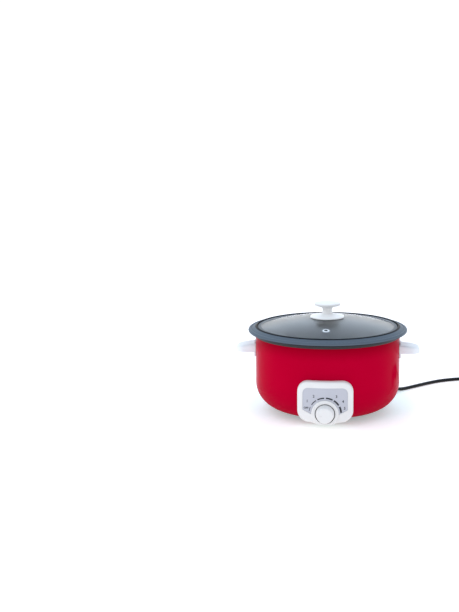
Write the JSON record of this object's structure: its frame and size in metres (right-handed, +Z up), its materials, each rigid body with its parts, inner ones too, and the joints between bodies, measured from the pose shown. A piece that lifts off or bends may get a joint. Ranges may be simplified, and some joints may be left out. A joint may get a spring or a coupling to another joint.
{
  "type": "electric cooking pot",
  "caption": "Electric cooking pot: a round red heated base with side handles and a dial panel, a lift-out pan with a wide flange, and a lift-off domed glass lid.",
  "frame": {"origin": "on the floor, on the pot's axis, in the plane of the feet's undersides", "axes": "+X to the right handle, -Y to the control panel, +Z up along the pot's axis"},
  "size_m": [0.5394, 0.3914, 0.1989],
  "materials": {
    "red_paint": "gloss",
    "black_plastic": "matte",
    "black_enamel": "satin",
    "cast_aluminium": "satin",
    "steel": "brushed",
    "white_plastic": "gloss",
    "grey_plate": "satin",
    "ivory_plastic": "matte",
    "brass": "bright",
    "cord_rubber": "satin",
    "brown_lead": "satin",
    "blue_lead": "satin",
    "green_lead": "satin",
    "pan_coating": "satin",
    "glass": "clear",
    "silicone": "satin"
  },
  "bodies": {
    "base": {"outer_shell": "red_paint", "rim_ring": "black_plastic", "heat_shield": "black_enamel", "heating_plate": "cast_aluminium", "heating_element": "steel", "cut_out": "ivory_plastic", "thermal_fuse": "brass", "fuse_clip": "steel", "support_leg_1": "steel", "support_leg_2": "steel", "support_leg_3": "steel", "support_leg_4": "steel", "leg_screws": "steel", "base_cover": "black_enamel", "cover_screws": "steel", "foot_1": "black_plastic", "foot_2": "black_plastic", "foot_3": "black_plastic", "foot_4": "black_plastic", "foot_screws": "steel", "control_housing": "white_plastic", "dial_plate": "grey_plate", "dial_collar": "white_plastic", "housing_screws": "steel", "regulator_body": "ivory_plastic", "regulator_bracket": "steel", "handle_left": "white_plastic", "handle_right": "white_plastic", "handle_screws": "steel", "terminal_block": "ivory_plastic", "cord_gland": "cord_rubber", "gland_nut": "cord_rubber", "lead_live": "brown_lead", "lead_heater": "brown_lead", "lead_neutral": "blue_lead", "lead_earth": "green_lead", "cord_inner": "cord_rubber", "core_live": "brown_lead", "core_neutral": "blue_lead", "core_earth": "green_lead", "cord_lead": "cord_rubber", "cord_coil": "cord_rubber", "cord_tail": "cord_rubber", "cord_tie": "black_plastic", "plug_body": "black_plastic", "plug_pins": "brass"},
    "dial": {"control_knob": "white_plastic", "regulator_shaft": "steel"},
    "pan": {"cooking_pan": "pan_coating"},
    "lid": {"lid_glass": "glass", "lid_band": "steel", "vent_grommet": "steel", "lid_gasket": "silicone", "knob_seat": "white_plastic", "knob_grip": "white_plastic", "lid_screw": "steel", "lid_washer": "black_enamel"}
  },
  "joints": [
    {"name": "knob_turn", "type": "hinge", "parent": "base", "child": "dial", "pos_m": [0, -0.141, 0.0295], "axis": [0, 1, 0], "range_deg": [0, 180]},
    {"name": "pan_lift", "type": "slide", "parent": "base", "child": "pan", "axis": [0, 0, 1], "range_m": [0, 0.14]},
    {"name": "lid_lift", "type": "slide", "parent": "pan", "child": "lid", "axis": [0, 0, 1], "range_m": [0, 0.12]}
  ]
}
